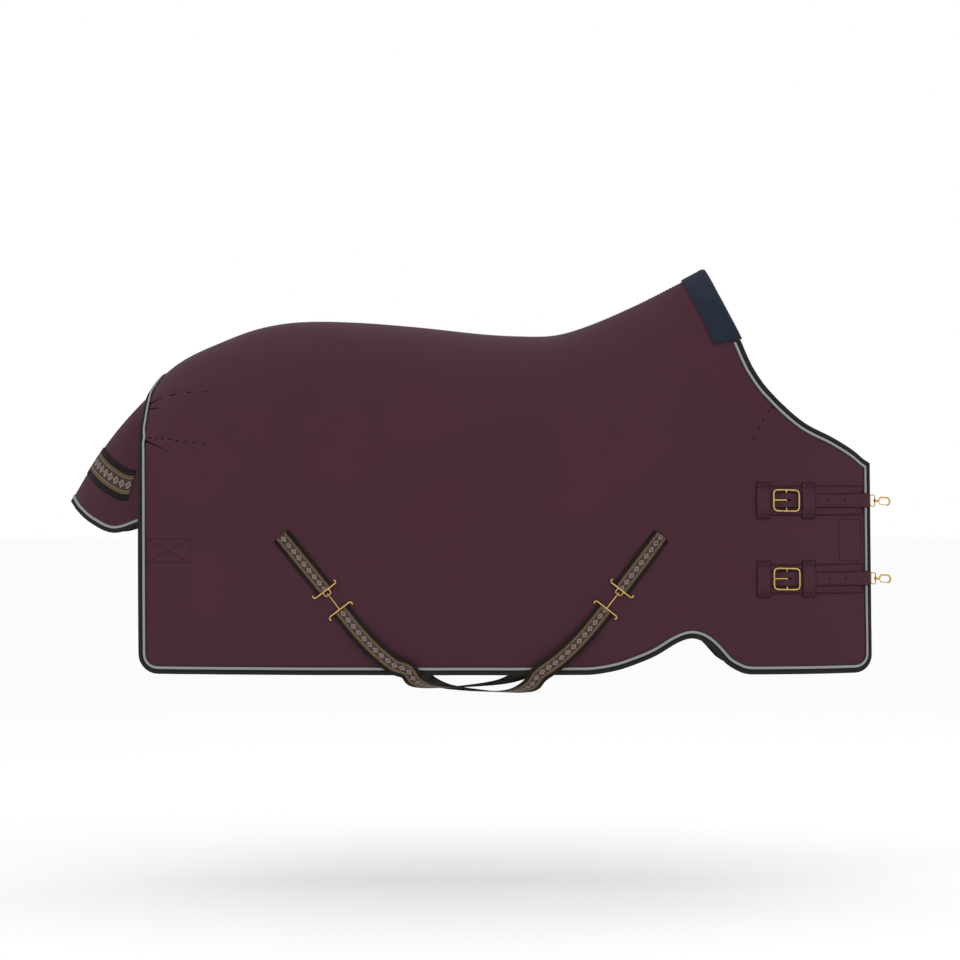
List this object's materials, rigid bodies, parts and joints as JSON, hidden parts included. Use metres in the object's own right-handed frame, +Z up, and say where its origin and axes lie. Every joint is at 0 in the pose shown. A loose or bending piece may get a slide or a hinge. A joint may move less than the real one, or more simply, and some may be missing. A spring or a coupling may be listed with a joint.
{
  "type": "turnout rug",
  "caption": "Horse turnout rug with tail flap, withers pad, open chest with rings and snap hooks, and crossed belly straps, in its worn shape.",
  "frame": {"origin": "under the lining on the spine, where the rug rests on the horse's back", "axes": "+X to the horse's head, +Y to its left, +Z up"},
  "size_m": [2.1805, 0.6157, 1.1245],
  "materials": {
    "charcoal": "woven charcoal binding tape",
    "brass": "polished brass",
    "aubergine": "smooth coated polyester, dark aubergine",
    "lining": "smooth dark nylon lining",
    "grey": "light grey reflective piping",
    "webbing": "dark brown woven webbing with gold lines",
    "velcro": "brown-grey hook and loop tape",
    "fill": "white polyester wadding",
    "navy": "navy fleece"
  },
  "bodies": {
    "rug": {"shell_body": "aubergine", "wadding_body": "fill", "lining_body": "lining", "binding_body": "charcoal", "piping_body": "grey", "withers_pad": "navy", "stub_front_left": "webbing", "stub_front_right": "webbing", "stub_rear_left": "webbing", "stub_rear_right": "webbing", "clip_female_front_left": "brass", "clip_female_front_right": "brass", "clip_female_rear_left": "brass", "clip_female_rear_right": "brass"},
    "front_left": {"shell_front_left": "aubergine", "wadding_front_left": "fill", "lining_front_left": "lining", "binding_front_left": "charcoal", "piping_front_left": "grey", "velcro_left": "velcro", "chest_patch_left_upper": "aubergine", "ring_strap_upper": "aubergine", "chest_patch_left_lower": "aubergine", "ring_strap_lower": "aubergine"},
    "front_right": {"shell_front_right": "aubergine", "wadding_front_right": "fill", "lining_front_right": "lining", "binding_front_right": "charcoal", "piping_front_right": "grey", "velcro_right": "velcro", "chest_patch_right_upper": "aubergine", "chest_strap_upper": "aubergine", "buckle_upper": "brass", "keeper_upper_front": "aubergine", "keeper_upper_rear": "aubergine", "chest_patch_right_lower": "aubergine", "chest_strap_lower": "aubergine", "buckle_lower": "brass", "keeper_lower_front": "aubergine", "keeper_lower_rear": "aubergine"},
    "ring_upper_front": {"ring_upper_front": "brass"},
    "ring_upper_rear": {"ring_upper_rear": "brass"},
    "tongue_upper": {"tongue_upper": "brass"},
    "snap_upper": {"snap_upper": "brass"},
    "snap_gate_upper": {"snap_gate_upper": "brass"},
    "ring_lower_front": {"ring_lower_front": "brass"},
    "ring_lower_rear": {"ring_lower_rear": "brass"},
    "tongue_lower": {"tongue_lower": "brass"},
    "snap_lower": {"snap_lower": "brass"},
    "snap_gate_lower": {"snap_gate_lower": "brass"},
    "tail_flap": {"tail_flap": "aubergine", "tail_flap_binding": "charcoal", "tail_flap_piping": "grey", "tail_flap_band": "webbing"},
    "surcingle_left_to_right": {"surcingle_left_to_right": "webbing", "clip_male_front_left": "brass", "clip_male_rear_right": "brass"},
    "surcingle_right_to_left": {"surcingle_right_to_left": "webbing", "clip_male_front_right": "brass", "clip_male_rear_left": "brass"}
  },
  "joints": [
    {"name": "open_front_left", "type": "hinge", "parent": "rug", "child": "front_left", "pos_m": [0.71629, 0.19661, -0.45424], "axis": [-0.0224, -0.0978, 0.995], "range_deg": [0, 60]},
    {"name": "open_front_right", "type": "hinge", "parent": "rug", "child": "front_right", "pos_m": [0.71629, -0.19675, -0.45424], "axis": [0.0224, -0.0978, -0.995], "range_deg": [0, 60]},
    {"name": "lift_tail_flap", "type": "hinge", "parent": "rug", "child": "tail_flap", "pos_m": [-0.83146, -0.00007, -0.12815], "axis": [0, 1, 0], "range_deg": [0, 50]},
    {"name": "swing_ring_upper_front", "type": "hinge", "parent": "front_left", "child": "ring_upper_front", "pos_m": [0.92308, 0.14983, -0.42679], "axis": [0, -0.0978, 0.9952], "range_deg": [0, 105]},
    {"name": "swing_ring_upper_rear", "type": "hinge", "parent": "front_left", "child": "ring_upper_rear", "pos_m": [0.79618, 0.187, -0.42677], "axis": [0, -0.0978, 0.9952], "range_deg": [0, 105]},
    {"name": "lift_tongue_upper", "type": "hinge", "parent": "front_right", "child": "tongue_upper", "pos_m": [0.82299, -0.18597, -0.43649], "axis": [0, 0.0978, 0.9952], "range_deg": [0, 70]},
    {"name": "swing_snap_upper", "type": "hinge", "parent": "front_right", "child": "snap_upper", "pos_m": [1.05307, -0.0802, -0.43679], "axis": [0, -0.0978, -0.9952], "range_deg": [0, 90]},
    {"name": "press_snap_gate_upper", "type": "hinge", "parent": "snap_upper", "child": "snap_gate_upper", "pos_m": [1.07829, -0.06364, -0.44364], "axis": [0.5623, -0.823, 0.0809], "range_deg": [0, 25], "stiffness_Nm_per_rad": 0.02},
    {"name": "swing_ring_lower_front", "type": "hinge", "parent": "front_left", "child": "ring_lower_front", "pos_m": [0.92309, 0.17098, -0.63429], "axis": [0, -0.0978, 0.9952], "range_deg": [0, 105]},
    {"name": "swing_ring_lower_rear", "type": "hinge", "parent": "front_left", "child": "ring_lower_rear", "pos_m": [0.79616, 0.20808, -0.63426], "axis": [0, -0.0978, 0.9952], "range_deg": [0, 105]},
    {"name": "lift_tongue_lower", "type": "hinge", "parent": "front_right", "child": "tongue_lower", "pos_m": [0.82296, -0.20673, -0.64149], "axis": [0, 0.0978, 0.9952], "range_deg": [0, 70]},
    {"name": "swing_snap_lower", "type": "hinge", "parent": "front_right", "child": "snap_lower", "pos_m": [1.05309, -0.10034, -0.64179], "axis": [0, -0.0978, -0.9952], "range_deg": [0, 90]},
    {"name": "press_snap_gate_lower", "type": "hinge", "parent": "snap_lower", "child": "snap_gate_lower", "pos_m": [1.0782, -0.08362, -0.64866], "axis": [0.5676, -0.8194, 0.0805], "range_deg": [0, 25], "stiffness_Nm_per_rad": 0.02},
    {"name": "sway_surcingle_left_to_right", "type": "hinge", "parent": "rug", "child": "surcingle_left_to_right", "pos_m": [0.34899, 0.2817, -0.71617], "axis": [-0.7672, -0.6414, -0.0021], "range_deg": [-2, 2]},
    {"name": "sway_surcingle_right_to_left", "type": "hinge", "parent": "rug", "child": "surcingle_right_to_left", "pos_m": [0.34906, -0.28198, -0.71618], "axis": [-0.7671, 0.6415, -0.0021], "range_deg": [-2, 2]}
  ]
}
